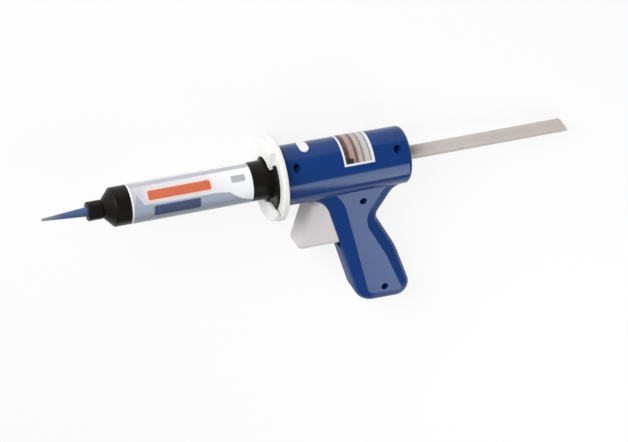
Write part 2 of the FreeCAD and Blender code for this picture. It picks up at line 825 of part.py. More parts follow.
def triggerOutline(inset):
    """The finger lever from the side: brow and toe at the front, ears above the pivot."""
    bulge = " - " + inset
    return [
        ("arc", "pawlPinX", "pawlPinY", "earRadius", 1),
        ("corner", "triggerWebX" + " + " + inset, "triggerWebY"),
        ("arc", "triggerBrowX", "triggerBrowY", "triggerBrowRadius" + bulge, 1),
        ("arc", "triggerToeX", "triggerToeY", "triggerToeRadius" + bulge, 1),
        ("corner", "triggerHeelX", "triggerToeY - triggerToeRadius + " + inset),
        ("arc", "triggerShoulderX", "triggerShoulderY", "triggerShoulderRadius", 1),
    ]


def trigger():
    """A moulded lever: a rounded front wall and two side walls, open at the back."""
    body = newBody("trigger")
    side = newSketch(body, "triggerSide")
    outline(side, triggerOutline("0"))
    blank = pad(body, "triggerBlank", side, "2 * triggerHalfWidth", midplane=True)
    doc.recompute()
    flank = value("triggerHalfWidth")
    brow = value("triggerWebY")
    heel = value("triggerHeelX")

    def isFrontEdge(box):
        onFlank = box.ZMin > flank - 0.01 or box.ZMax < 0.01 - flank
        behind = box.XMin > heel - 8.0
        return onFlank and not behind and box.YMax < brow + 0.01

    fillet(body, "triggerEdge", blank, edgesWhere(blank.Shape, isFrontEdge), "triggerEdgeRadius")
    channel = newSketch(body, "triggerChannel")
    outline(channel, [
        ("corner", "triggerWebX + triggerWebDepth", "pawlPinY + 2 * earRadius"),
        ("corner", "triggerWebX + triggerWebDepth", "triggerWebY"),
        ("arc", "triggerBrowX", "triggerBrowY", "triggerBrowRadius - triggerFront", 1),
        ("arc", "triggerToeX", "triggerToeY", "triggerToeRadius - triggerFront", 1),
        ("corner", "triggerHeelX + 1", "triggerToeY - triggerToeRadius + triggerFront"),
        ("corner", "triggerHeelX + 1", "pawlPinY + 2 * earRadius"),
    ])
    pocket(body, "triggerChannelCut", channel, "2 * (triggerHalfWidth - triggerWall)",
           midplane=True)
    holes = newSketch(body, "triggerHoles")
    circleIn(holes, "pivotX", "pivotY", "pivotRadius + pivotClearance")
    circleIn(holes, "pawlPinX", "pawlPinY", "pawlPinRadius")
    pocket(body, "triggerHolesCut", holes, "4 * triggerHalfWidth", midplane=True)
    return body


def pin(name, x, y, radius, halfLength):
    """A plain pin across the gun, with its two ends chamfered."""
    body = newBody(name)
    circle = newSketch(body, name + "Circle")
    circleIn(circle, x, y, radius)
    shaft = pad(body, name + "Shaft", circle, "2 * " + halfLength, midplane=True)
    doc.recompute()
    rims = edgesWhere(shaft.Shape, lambda box: box.ZLength < 0.01)
    chamfer = body.newObject("PartDesign::Chamfer", name + "Chamfer")
    chamfer.Base = (shaft, rims)
    chamfer.setExpression("Size", bound("pinChamfer"))
    return body


def pawl():
    """The pushing pawl: a hub on its pin and a nose that lies just under the rack."""
    body = newBody("pawl")
    side = newSketch(body, "pawlSide")
    outline(side, [
        ("corner", "pawlNoseX", "-rodRadius - rackGap"),
        ("corner", "pawlNoseX", "-rodRadius - rackGap - pawlNoseLength"),
        ("arc", "pawlPinX", "pawlPinY", "pawlHubRadius", 1),
        ("corner", "pawlTailX", "pawlTailY"),
        ("corner", "pawlTailX", "pawlTailY + pawlTailDepth"),
        ("corner", "pawlPinX + pawlHubRadius / 2", "pawlPinY + pawlHubRadius - 0.3"),
    ])
    pad(body, "pawlArm", side, "2 * pawlHalfWidth", midplane=True)
    hub = newSketch(body, "pawlHub")
    circleIn(hub, "pawlPinX", "pawlPinY", "pawlBossRadius")
    pad(body, "pawlHubPad", hub, "2 * (triggerHalfWidth - triggerWall - pawlClearance)",
        midplane=True)
    bore = newSketch(body, "pawlBore")
    circleIn(bore, "pawlPinX", "pawlPinY", "pawlPinRadius + pawlClearance")
    pocket(body, "pawlBoreCut", bore, "4 * triggerHalfWidth", midplane=True)
    return body


def torsionSpring(name, centreX, centreY, firstZ, wire, coil, turns, startAngle, endAngle,
                  startLeg, endLeg):
    """A coil round the Z axis, counter-clockwise upwards, with a straight leg at each end."""
    wireRadius = value(wire)
    coilRadius = value(coil)
    start = math.radians(value(startAngle))
    sweep = value(turns) * 2 * math.pi + math.radians(value(endAngle)) - start
    pitch = 2.3 * wireRadius
    rise = pitch * sweep / (2 * math.pi)
    helix = Part.makeHelix(pitch, rise, coilRadius)
    section = Part.Wire(Part.makeCircle(wireRadius, Vector(coilRadius, 0, 0), Vector(0, 1, 0)))
    coilSolid = Part.Wire(helix).makePipeShell([section], True, True)
    coilSolid.rotate(Vector(), Vector(0, 0, 1), math.degrees(start))
    pieces = [coilSolid]
    for angle, height, length, way in (
            (start, 0.0, value(startLeg), -1), (start + sweep, rise, value(endLeg), 1)):
        foot = Vector(coilRadius * math.cos(angle), coilRadius * math.sin(angle), height)
        along = Vector(-math.sin(angle), math.cos(angle), 0) * way
        pieces.append(Part.makeCylinder(wireRadius, length, foot, along))
    solid = pieces[0].fuse(pieces[1:])
    solid.translate(Vector(value(centreX), value(centreY), value(firstZ)))
    feature = doc.addObject("Part::Feature", name + "Wire")
    feature.Shape = solid
    spring = doc.addObject("Part::Compound", name)
    spring.Links = [feature]
    return spring


def triggerSpring():
    return torsionSpring(
        "trigger_spring", "pivotX", "pivotY", "-returnTurns * 1.15 * returnWire", "returnWire",
        "returnCoilRadius", "returnTurns", "returnFrontLegAngle", "-90",
        "returnFrontLegLength", "returnRearLegLength")


def pawlSpring():
    return torsionSpring(
        "pawl_spring", "pawlPinX", "pawlPinY", "pawlHalfWidth + 2 * pawlWire", "pawlWire",
        "pawlBossRadius + 1.5 * pawlWire", "pawlTurns", "pawlWebLegAngle", "pawlNoseLegAngle",
        "pawlWebLegLength", "pawlNoseLegLength")


# --- rod brake ------------------------------------------------------------------------


def rodBrake():
    """A shoe on top of the rod, kept between the housing's two ribs."""
    shoe = block(
        "shoeBlock", "frontRibX + ribThickness + brakeEndGap", "rodRadius * 0.75",
        "-brakeHalfWidth", "rearRibX - frontRibX - ribThickness - 2 * brakeEndGap",
        shoeTop + " - rodRadius * 0.75", "2 * brakeHalfWidth")
    groove = cylinder(
        "shoeGroove", "X", "frontRibX", "0", "0", "rodRadius + brakeGap",
        "rearRibX - frontRibX + ribThickness")
    return cut("rod_brake", shoe, groove)


def brakeSpring():
    """A bowed strip between the shoe and the shelf above it."""
    bow = "(brakeSpringSpan ^ 2 / 4 + brakeSpringRise ^ 2) / (2 * brakeSpringRise)"
    middle = "(frontRibX + rearRibX + ribThickness) / 2"
    low = shoeTop + " + brakeGap / 2"
    centre = low + " + " + bow
    outer = cylinder("bowOuter", "Z", middle, centre, "-brakeSpringHalfWidth", bow,
                     "2 * brakeSpringHalfWidth")
    inner = cylinder("bowInner", "Z", middle, centre, "-brakeSpringHalfWidth - 1",
                     bow + " - brakeSpringThickness", "2 * brakeSpringHalfWidth + 2")
    window = block("bowWindow", middle + " - brakeSpringSpan / 2", low + " - 1",
                   "-brakeSpringHalfWidth", "brakeSpringSpan",
                   "brakeSpringRise + brakeSpringThickness + 1", "2 * brakeSpringHalfWidth")
    return common("brake_spring", cut("bowRing", outer, inner), window)


# --- the gun at rest ------------------------------------------------------------------


def restNormal():
    """The floor's upward normal in the gun's frame, with the gun lying on its right side.

    The floor touches the collar's rim, the crease of the grip's panel, and either the
    housing's rear edge or the rod's tail, whichever reaches it first.
    """
    edge = value("collarEdgeRadius")
    flank = -value("gripHalfWidth")
    tailRadius = value("rodTailRadius")
    tailRise = tailRadius - value("rodRadius") - 1.0
    tailEnd = value("rodTail") - tailRadius + math.sqrt(tailRadius ** 2 - tailRise ** 2)

    def ring(x, radius, tube, normal):
        across = Vector(0, normal.y, normal.z)
        return Vector(x, 0, 0) - across * (radius / across.Length) - normal * tube

    def collarPoint(normal):
        return ring(-edge, value("collarRadius") - edge, edge, normal)

    def gripPoint(normal):
        level = Vector(normal.x, normal.y, 0)
        corners = []
        for end in ("toe", "heel"):
            centre = Vector(value(end + "X"), value(end + "Y"), flank)
            radius = value("%sRadius - panel%sInset" % (end, end.capitalize()))
            corners.append(centre - level * (radius / level.Length))
        return min(corners, key=normal.dot)

    def backPoint(normal):
        rearEdge = value("housingRearEdgeRadius")
        rear = ring(value("housingLength") - rearEdge, value("housingRearRadius") - rearEdge,
                    rearEdge, normal)
        tail = ring(tailEnd, value("rodRadius"), 0.0, normal)
        return min((rear, tail), key=normal.dot)

    normal = Vector(-0.1, 0.1, 1.0).normalize()
    for step in range(60):
        first, second, third = collarPoint(normal), gripPoint(normal), backPoint(normal)
        plane = (second - first).cross(third - first).normalize()
        if plane.z < 0:
            plane = plane * -1
        normal = (normal + plane).normalize()
    return normal


def layDown(pieces):
    """Turn the whole gun onto the floor, and put the origin under its middle."""
    up = restNormal()
    along = (Vector(1, 0, 0) - up * up.x).normalize()
    turn = Rotation(along, up.cross(along), up, "XYZ").inverted()
    for piece in pieces:
        piece.Placement = Placement(Vector(), turn)
    doc.recompute()
    box = FreeCAD.BoundBox()
    for piece in pieces:
        box.add(piece.Shape.optimalBoundingBox(False))
    shift = Vector(-(box.XMin + box.XMax) / 2, -(box.YMin + box.YMax) / 2, -box.ZMin)
    for piece in pieces:
        piece.Placement = Placement(shift, turn)
    doc.recompute()


nodes = housingHalves() + [
    housingScrews(), housingSticker(), collar(),
    syringeBarrel(), barrelLabel(), syringePiston(), dispensingTip(),
    pushRod(), pusherHead(), headScrew(),
    trigger(), pin("trigger_pin", "pivotX", "pivotY", "pivotRadius", "pivotEnd"), triggerSpring(),
    pawl(), pin("pawl_pin", "pawlPinX", "pawlPinY", "pawlPinRadius", "triggerHalfWidth"),
    pawlSpring(),
    rodBrake(), brakeSpring(),
]
doc.recompute()
layDown(nodes)

for item in doc.Objects:
    if "Invalid" in item.State or "Error" in item.State:
        raise RuntimeError("%s did not build: %s" % (item.Label, item.State))
os.makedirs("parts", exist_ok=True)
for node in nodes:
    if node.Shape.isNull() or not node.Shape.isValid():
        raise RuntimeError("%s has no valid shape" % node.Label)
    node.Shape.exportStep("parts/%s.step" % node.Label)
    print("%s %.1f mm3" % (node.Label, node.Shape.Volume))
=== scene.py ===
import json

import bpy
from mathutils import Matrix, Vector

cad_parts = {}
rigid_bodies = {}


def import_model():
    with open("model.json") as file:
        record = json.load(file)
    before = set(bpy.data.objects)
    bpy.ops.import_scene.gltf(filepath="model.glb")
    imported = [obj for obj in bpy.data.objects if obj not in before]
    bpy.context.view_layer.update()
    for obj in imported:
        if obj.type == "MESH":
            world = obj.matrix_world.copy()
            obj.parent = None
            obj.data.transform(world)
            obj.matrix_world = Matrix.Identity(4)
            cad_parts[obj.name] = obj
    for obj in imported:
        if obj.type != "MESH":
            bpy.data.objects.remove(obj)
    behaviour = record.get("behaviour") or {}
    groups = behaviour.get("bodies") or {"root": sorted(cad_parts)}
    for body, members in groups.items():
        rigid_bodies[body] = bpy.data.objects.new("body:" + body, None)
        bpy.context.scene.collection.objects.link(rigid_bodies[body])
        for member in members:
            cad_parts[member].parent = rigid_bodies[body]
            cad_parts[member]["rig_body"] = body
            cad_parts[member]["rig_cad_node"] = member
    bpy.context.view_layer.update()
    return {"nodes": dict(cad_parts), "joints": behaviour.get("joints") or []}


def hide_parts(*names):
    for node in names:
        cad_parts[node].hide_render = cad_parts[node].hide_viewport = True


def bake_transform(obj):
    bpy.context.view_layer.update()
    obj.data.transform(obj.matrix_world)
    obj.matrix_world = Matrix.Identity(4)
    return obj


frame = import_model()
nodes = frame["nodes"]
bpy.ops.object.select_all(action="DESELECT")

# the gun's own directions: along the rod to its tail, up from the grip, out of its left side
joints = {joint["name"]: joint for joint in frame["joints"]}
gunLeft = Vector(joints["trigger_pull"]["axis"]).normalized()
gunBack = -Vector(joints["rod_slide"]["axis"]).normalized()
gunUp = gunLeft.cross(gunBack)
pivotPlace = Vector((0.034, -0.0185, 0.0))    # the trigger's pivot, from the housing's front
gunTurn = Matrix((gunBack, gunUp, gunLeft)).transposed()
gunOrigin = Vector(joints["trigger_pull"]["pos_m"]) - gunTurn @ pivotPlace


def gunPoint(x, y, z):
    # a place in the gun's own directions, in metres, as a place in the scene
    return gunOrigin + gunTurn @ Vector((x, y, z))


def newMaterial(name):
    material = bpy.data.materials.new(name)
    material.use_nodes = True
    tree = material.node_tree
    return material, tree, tree.nodes["Principled BSDF"]


def feed(tree, node, inputs):
    # a socket is linked to the input, and anything else becomes the input's value
    for key, entry in inputs.items():
        if isinstance(entry, bpy.types.NodeSocket):
            tree.links.new(entry, node.inputs[key])
        else:
            node.inputs[key].default_value = entry
    return node


def addNode(tree, kind, inputs=None, **settings):
    node = tree.nodes.new(kind)
    for key, setting in settings.items():
        setattr(node, key, setting)
    return feed(tree, node, inputs or {})


def maths(tree, operation, first, second=0.0, clamp=False):
    return addNode(tree, "ShaderNodeMath", {0: first, 1: second},
                   operation=operation, use_clamp=clamp).outputs[0]


def mixColours(tree, mask, first, second):
    # the mix node keeps its colours in inputs 6 and 7 and in output 2
    return addNode(tree, "ShaderNodeMix", {0: mask, 6: first, 7: second},
                   data_type="RGBA").outputs[2]


def shareAlong(tree, along, start, end):
    # 0 up to the start and 1 from the end on, which may lie on either side of it
    return addNode(tree, "ShaderNodeMapRange", {
        "Value": along, "From Min": start, "From Max": end}).outputs[0]


def newGroup(name, inputs, outputs):
    # inputs by name, kind and first value, outputs by name and kind
    group = bpy.data.node_groups.new(name, "ShaderNodeTree")
    for socket, kind, start in inputs:
        made = group.interface.new_socket(socket, in_out="INPUT", socket_type="NodeSocket" + kind)
        if start is not None:
            made.default_value = start
    for socket, kind in outputs:
        group.interface.new_socket(socket, in_out="OUTPUT", socket_type="NodeSocket" + kind)
    return group, group.nodes.new("NodeGroupInput"), group.nodes.new("NodeGroupOutput")


def useGroup(tree, group, inputs=None):
    return addNode(tree, "ShaderNodeGroup", inputs, node_tree=group)


def seenOrMirrored(tree):
    # 1 for rays from the camera, in a reflection or through glass, and 0 for light that scatters
    path = addNode(tree, "ShaderNodeLightPath")
    mirrored = maths(tree, "MAXIMUM", path.outputs["Is Glossy Ray"],
                     path.outputs["Is Transmission Ray"])
    return maths(tree, "MAXIMUM", path.outputs["Is Camera Ray"], mirrored)


def makeGunPlaces():
    # object coordinates turned into the gun's own: along the rod, up, left, and round the rod
    group, _, end = newGroup("gunPlaces", [], [
        ("Along", "Float"), ("Up", "Float"), ("Left", "Float"), ("Turn", "Float"),
        ("Place", "Vector")])
    inverse = gunTurn.transposed()
    shift = -(inverse @ gunOrigin)
    coordinates = addNode(group, "ShaderNodeTexCoord")
    mapping = addNode(group, "ShaderNodeMapping", {
        "Vector": coordinates.outputs["Object"], "Location": shift,
        "Rotation": inverse.to_euler("XYZ")}, vector_type="POINT")
    parts = addNode(group, "ShaderNodeSeparateXYZ", {0: mapping.outputs[0]})
    turn = maths(group, "ARCTAN2", parts.outputs[2], parts.outputs[1])
    for name, socket in (("Along", parts.outputs[0]), ("Up", parts.outputs[1]),
                         ("Left", parts.outputs[2]), ("Turn", turn),
                         ("Place", mapping.outputs[0])):
        group.links.new(socket, end.inputs[name])
    return group


def makePrintedShape():
    # a box with rounded corners on a flat print: 1 inside, 0 outside, soft at its edge
    group, start, end = newGroup("printedShape", [
        ("Across", "Float", 0.0), ("Down", "Float", 0.0),
        ("Centre Across", "Float", 0.0), ("Centre Down", "Float", 0.0),
        ("Half Width", "Float", 0.01), ("Half Height", "Float", 0.01),
        ("Corner", "Float", 0.001), ("Softness", "Float", 0.0003)], [("Mask", "Float")])
    sides = []
    for place, centre, half in (("Across", "Centre Across", "Half Width"),
                                ("Down", "Centre Down", "Half Height")):
        away = maths(group, "SUBTRACT", start.outputs[place], start.outputs[centre])
        past = maths(group, "SUBTRACT", maths(group, "ABSOLUTE", away), start.outputs[half])
        sides.append(maths(group, "ADD", past, start.outputs["Corner"]))
    outside = [maths(group, "MAXIMUM", side, 0.0) for side in sides]
    squares = [maths(group, "MULTIPLY", side, side) for side in outside]
    reach = maths(group, "SQRT", maths(group, "ADD", squares[0], squares[1]))
    inside = maths(group, "MINIMUM", maths(group, "MAXIMUM", sides[0], sides[1]), 0.0)
    distance = maths(group, "SUBTRACT", maths(group, "ADD", reach, inside),
                     start.outputs["Corner"])
    softened = maths(group, "DIVIDE", distance, start.outputs["Softness"])
    mask = maths(group, "SUBTRACT", 0.5, softened, clamp=True)
    group.links.new(mask, end.inputs["Mask"])
    return group


skinNoise = {
    "grainDetail": 3.0, "rippleDetail": 1.0, "grainShare": 0.25, "rippleShare": 0.75,
    "smudgeScale": 38.0, "smudgeDetail": 6.0, "smudgeDistortion": 0.6,
}


def makeMouldedSkin():
    # moulded plastic: a faint ripple, fine grain and a few smudges that dull the gloss
    noise = skinNoise
    group, start, end = newGroup("mouldedSkin", [
        ("Grain", "Float", 900.0), ("Ripple", "Float", 60.0), ("Gloss", "Float", 0.3),
        ("Smudges", "Float", 0.08)], [
        ("Height", "Float"), ("Roughness", "Float"), ("Tone", "Float")])
    place = addNode(group, "ShaderNodeTexCoord").outputs["Object"]
    grain = addNode(group, "ShaderNodeTexNoise", {
        "Vector": place, "Scale": start.outputs["Grain"], "Detail": noise["grainDetail"]})
    ripple = addNode(group, "ShaderNodeTexNoise", {
        "Vector": place, "Scale": start.outputs["Ripple"], "Detail": noise["rippleDetail"]})
    smudge = addNode(group, "ShaderNodeTexNoise", {
        "Vector": place, "Scale": noise["smudgeScale"], "Detail": noise["smudgeDetail"],
        "Distortion": noise["smudgeDistortion"]})
    height = maths(group, "ADD",
                   maths(group, "MULTIPLY", grain.outputs[0], noise["grainShare"]),
                   maths(group, "MULTIPLY", ripple.outputs[0], noise["rippleShare"]))
    # the smudge noise lies round a half, and twice its distance from there spans -1 to 1
    away = maths(group, "SUBTRACT", smudge.outputs[0], 0.5)
    reach = maths(group, "MULTIPLY", start.outputs["Smudges"], 2.0)
    roughness = maths(group, "ADD", start.outputs["Gloss"],
                      maths(group, "MULTIPLY", away, reach), clamp=True)
    group.links.new(height, end.inputs["Height"])
    group.links.new(roughness, end.inputs["Roughness"])
    group.links.new(ripple.outputs[0], end.inputs["Tone"])
    return group


def makeSeamLine():
    # the dark parting line where two moulded halves meet: 1 on it, 0 a width away
    group, start, end = newGroup("seamLine", [
        ("Across", "Float", 0.0), ("Width", "Float", 0.00025)], [("Mask", "Float")])
    near = maths(group, "DIVIDE", maths(group, "ABSOLUTE", start.outputs["Across"]),
                 start.outputs["Width"])
    mask = maths(group, "SUBTRACT", 1.0, near, clamp=True)
    group.links.new(mask, end.inputs["Mask"])
    return group


gunPlaces = makeGunPlaces()
printedShape = makePrintedShape()
mouldedSkin = makeMouldedSkin()
seamLine = makeSeamLine()
print("shared effects made")


def mouldedPlastic(name, finish):
    material, tree, shader = newMaterial(name)
    skin = useGroup(tree, mouldedSkin, {
        "Grain": finish["grain"], "Ripple": finish["ripple"], "Gloss": finish["roughness"],
        "Smudges": finish["smudges"]})
    colour = mixColours(tree, skin.outputs["Tone"], finish["colour"], finish["otherColour"])
    bump = addNode(tree, "ShaderNodeBump", {
        "Height": skin.outputs["Height"], "Strength": finish["bump"], "Distance": finish["depth"]})
    tree.links.new(colour, shader.inputs["Base Color"])
    tree.links.new(skin.outputs["Roughness"], shader.inputs["Roughness"])
    tree.links.new(bump.outputs[0], shader.inputs["Normal"])
    shader.inputs["Specular IOR Level"].default_value = finish["shine"]
    return material, tree, shader, colour


housingFinish = {
    "colour": (0.003, 0.034, 0.175, 1), "otherColour": (0.005, 0.041, 0.200, 1),
    "roughness": 0.16, "smudges": 0.05, "grain": 900.0, "ripple": 45.0,
    "bump": 0.12, "depth": 0.0002, "shine": 0.38, "tint": (0.82, 0.94, 1.0, 1),
    "seamColour": (0.003, 0.010, 0.05, 1),
    # the duller rim: below this height, within this far of the seam, with these fades
    "rimUnder": -0.026, "rimUnderFade": 0.004, "rimWithin": 0.0095, "rimWithinFade": 0.001,
    "rimRoughness": 0.36,
}


def housingPlastic():
    finish = housingFinish
    material, tree, shader, colour = mouldedPlastic("housingBlue", finish)
    places = useGroup(tree, gunPlaces)
    seam = useGroup(tree, seamLine, {"Across": places.outputs["Left"]})
    tree.links.new(mixColours(tree, seam.outputs[0], colour, finish["seamColour"]),
                   shader.inputs["Base Color"])
    shader.inputs["Specular Tint"].default_value = finish["tint"]
    # the grip is duller round its rim than on its flat panels, as if its mould was etched there
    under = shareAlong(tree, places.outputs["Up"],
                       finish["rimUnder"] + finish["rimUnderFade"],
                       finish["rimUnder"] - finish["rimUnderFade"])
    within = shareAlong(tree, maths(tree, "ABSOLUTE", places.outputs["Left"]),
                        finish["rimWithin"] + finish["rimWithinFade"],
                        finish["rimWithin"] - finish["rimWithinFade"])
    added = maths(tree, "MULTIPLY", maths(tree, "MULTIPLY", under, within), finish["rimRoughness"])
    gloss = shader.inputs["Roughness"].links[0].from_socket
    tree.links.new(maths(tree, "ADD", gloss, added), shader.inputs["Roughness"])
    return material


collarFinish = {
    "colour": (0.86, 0.86, 0.85, 1), "otherColour": (0.90, 0.90, 0.89, 1),
    "roughness": 0.38, "smudges": 0.08, "grain": 700.0, "ripple": 60.0,
    "bump": 0.2, "depth": 0.0004, "shine": 0.45,
}
triggerFinish = {
    "colour": (0.65, 0.61, 0.625, 1), "otherColour": (0.70, 0.66, 0.675, 1),
    "roughness": 0.42, "smudges": 0.1, "grain": 800.0, "ripple": 60.0,
    "bump": 0.2, "depth": 0.0004, "shine": 0.4,
}
rodFinish = {
    "colour": (0.55, 0.50, 0.47, 1), "otherColour": (0.60, 0.55, 0.52, 1),
    "roughness": 0.45, "smudges": 0.1, "grain": 1200.0, "ripple": 90.0,
    "bump": 0.2, "depth": 0.0003, "shine": 0.4,
}
barrelFinish = {
    "colour": (0.006, 0.0055, 0.005, 1), "otherColour": (0.009, 0.008, 0.0075, 1),
    "roughness": 0.34, "smudges": 0.1, "grain": 900.0, "ripple": 80.0,
    "bump": 0.2, "depth": 0.0003, "shine": 0.15,
}
innerFinish = {
    "colour": (0.70, 0.69, 0.66, 1), "otherColour": (0.76, 0.75, 0.72, 1),
    "roughness": 0.4, "smudges": 0.08, "grain": 900.0, "ripple": 60.0,
    "bump": 0.15, "depth": 0.0003, "shine": 0.45,
}


tipFinish = {
    "colour": (0.055, 0.095, 0.205, 1), "otherColour": (0.065, 0.11, 0.23, 1),
    # the end colour is painted light: the tip pales towards its thin end as if lit through it
    "paintedLightEnd": (0.23, 0.25, 0.30, 1), "fadeStart": -0.147, "fadeEnd": -0.160,
    "roughness": 0.28, "smudges": 0.06, "grain": 900.0, "ripple": 90.0,
    "bump": 0.1, "depth": 0.0003, "shine": 0.5,
}


def tipPlastic():
    finish = tipFinish
    material, tree, shader, colour = mouldedPlastic("tipBlue", finish)
    places = useGroup(tree, gunPlaces)
    # painted light: paler towards the thin end, standing in for light shining through the plastic
    paintedLightShare = shareAlong(tree, places.outputs["Along"], finish["fadeStart"], finish["fadeEnd"])
    tree.links.new(mixColours(tree, paintedLightShare, colour, finish["paintedLightEnd"]),
                   shader.inputs["Base Color"])
    return material


steelFinish = {
    "colour": (0.55, 0.55, 0.56, 1), "roughness": 0.28, "roughnessSpread": 0.08,
    "brushing": (60.0, 900.0, 900.0), "brushingDetail": 4.0, "bump": 0.15, "depth": 0.0002,
}
screwFinish = {
    "colour": (0.020, 0.035, 0.085, 1), "roughness": 0.45, "roughnessSpread": 0.08,
    "brushing": (300.0, 300.0, 60.0), "brushingDetail": 4.0, "bump": 0.15, "depth": 0.0002,
}


def steel(name, finish):
    material, tree, shader = newMaterial(name)
    places = useGroup(tree, gunPlaces)
    stretch = addNode(tree, "ShaderNodeMapping", {
        "Vector": places.outputs["Place"], "Scale": finish["brushing"]})
    brushing = addNode(tree, "ShaderNodeTexNoise", {
        "Vector": stretch.outputs[0], "Detail": finish["brushingDetail"]})
    roughness = addNode(tree, "ShaderNodeMapRange", {
        "Value": brushing.outputs[0],
        "To Min": finish["roughness"] - finish["roughnessSpread"],
        "To Max": finish["roughness"] + finish["roughnessSpread"]})
    bump = addNode(tree, "ShaderNodeBump", {
        "Height": brushing.outputs[0], "Strength": finish["bump"], "Distance": finish["depth"]})
    shader.inputs["Base Color"].default_value = finish["colour"]
    shader.inputs["Metallic"].default_value = 1.0
    tree.links.new(roughness.outputs[0], shader.inputs["Roughness"])
    tree.links.new(bump.outputs[0], shader.inputs["Normal"])
    return material


# prints and painted shade lie in metres along the rod and round the surface from the gun's top
labelPrintAndShade = {
    "radius": 0.01325, "roughness": 0.30, "smudges": 0.1, "bump": 0.15, "depth": 0.0002,
    "front": -0.1032, "rear": -0.0198,
    # from front to rear, by the share of the length: the colour, with painted shade at the front,
    # and how far down the painted underside shade starts, in mm of the most that its ramp holds
    "filmPaintedShade": [(0.0, (0.52, 0.52, 0.57, 1)), (0.12, (0.66, 0.64, 0.69, 1)),
             (0.55, (0.76, 0.73, 0.77, 1)), (0.85, (0.90, 0.92, 0.94, 1))],
    "paintedShadeTop": [(0.0, 21.0), (0.05, 8.6), (0.10, 16.2), (0.24, 16.6), (0.48, 16.8),
                 (0.68, 16.7), (0.80, 17.8), (0.90, 24.2), (1.0, 27.5)],
    # the field colour is painted shade over the underside of the label
    "paintedShadeTopMost": 30, "paintedShadeEdge": 0.0006, "field": (0.36, 0.41, 0.51, 1),
    # painted shade deeper further round the underside, and where it starts and is reached
    "paintedDeepShade": (0.27, 0.30, 0.36, 1), "paintedDeepShadeAt": 0.0255, "paintedDeepShadeBefore": 0.004,
    "paintedDeepShadeAfter": 0.002,
    # painted reflection: a grey band along the top, which runs past both ends of the label
    "paintedTopReflection": (0.47, 0.47, 0.52, 1), "paintedTopReflectionHalf": 0.0024, "paintedTopReflectionReach": 1.0,
    "paintedTopReflectionEdge": 0.0008,
    "shapes": [
        # colour, centre along and round, half width and height, corner, softness
        ((0.82, 0.66, 0.60, 1), (-0.0700, 0.0104), (0.0228, 0.0046), 0.0020, 0.0012),
        ((0.62, 0.15, 0.075, 1), (-0.0700, 0.0104), (0.0215, 0.0033), 0.0012, 0.0005),
        ((0.055, 0.075, 0.17, 1), (-0.0723, 0.0218), (0.0160, 0.0039), 0.0012, 0.0006),
        ((0.46, 0.46, 0.51, 1), (-0.0292, 0.0098), (0.0048, 0.0024), 0.0006, 0.0005),
        ((0.84, 0.85, 0.89, 1), (-0.1026, 0.0150), (0.0006, 0.0240), 0.0002, 0.0004),
    ],
}


def fillRamp(tree, place, stops):
    # a colour ramp with these stops, each a position and a shade
    ramp = addNode(tree, "ShaderNodeValToRGB", {0: place})
    elements = ramp.color_ramp.elements
    while len(elements) < len(stops):
        elements.new(0.5)
    for element, (position, shade) in zip(elements, stops):
        element.position = position
        element.color = shade
    return ramp.outputs[0]


def labelFilm():
    layout = labelPrintAndShade
    material, tree, shader = newMaterial("labelFilm")
    places = useGroup(tree, gunPlaces)
    along = places.outputs["Along"]
    down = maths(tree, "MULTIPLY", places.outputs["Turn"], layout["radius"])
    share = shareAlong(tree, along, layout["front"], layout["rear"])
    # painted shade: the label darkens towards its front end
    colour = fillRamp(tree, share, layout["filmPaintedShade"])
    # painted reflection: a grey band along the top of the label
    paintedReflection = useGroup(tree, printedShape, {
        "Down": down, "Half Width": layout["paintedTopReflectionReach"],
        "Half Height": layout["paintedTopReflectionHalf"], "Softness": layout["paintedTopReflectionEdge"]})
    colour = mixColours(tree, paintedReflection.outputs[0], colour, layout["paintedTopReflection"])
    # the painted shade's upper edge rises and falls along the label, and the ramp holds it as a
    # share
    edge = fillRamp(tree, share, [(position, [height / layout["paintedShadeTopMost"]] * 3 + [1])
                                  for position, height in layout["paintedShadeTop"]])
    edge = maths(tree, "MULTIPLY", edge, layout["paintedShadeTopMost"] / 1000)
    below = maths(tree, "SUBTRACT", down, edge)
    inPaintedShade = maths(tree, "ADD", maths(tree, "DIVIDE", below, layout["paintedShadeEdge"]), 0.5,
                    clamp=True)
    # painted shade, deeper further round the underside
    low = shareAlong(tree, down, layout["paintedDeepShadeAt"] - layout["paintedDeepShadeBefore"],
                     layout["paintedDeepShadeAt"] + layout["paintedDeepShadeAfter"])
    field = mixColours(tree, low, layout["field"], layout["paintedDeepShade"])
    colour = mixColours(tree, inPaintedShade, colour, field)
    for shade, centre, half, corner, softness in layout["shapes"]:
        shape = useGroup(tree, printedShape, {
            "Across": along, "Down": down, "Centre Across": centre[0],
            "Centre Down": centre[1], "Half Width": half[0], "Half Height": half[1],
            "Corner": corner, "Softness": softness})
        colour = mixColours(tree, shape.outputs[0], colour, shade)
    skin = useGroup(tree, mouldedSkin, {
        "Gloss": layout["roughness"], "Smudges": layout["smudges"]})
    bump = addNode(tree, "ShaderNodeBump", {
        "Height": skin.outputs["Height"], "Strength": layout["bump"],
        "Distance": layout["depth"]})
    tree.links.new(colour, shader.inputs["Base Color"])
    tree.links.new(skin.outputs["Roughness"], shader.inputs["Roughness"])
    tree.links.new(bump.outputs[0], shader.inputs["Normal"])
    return material


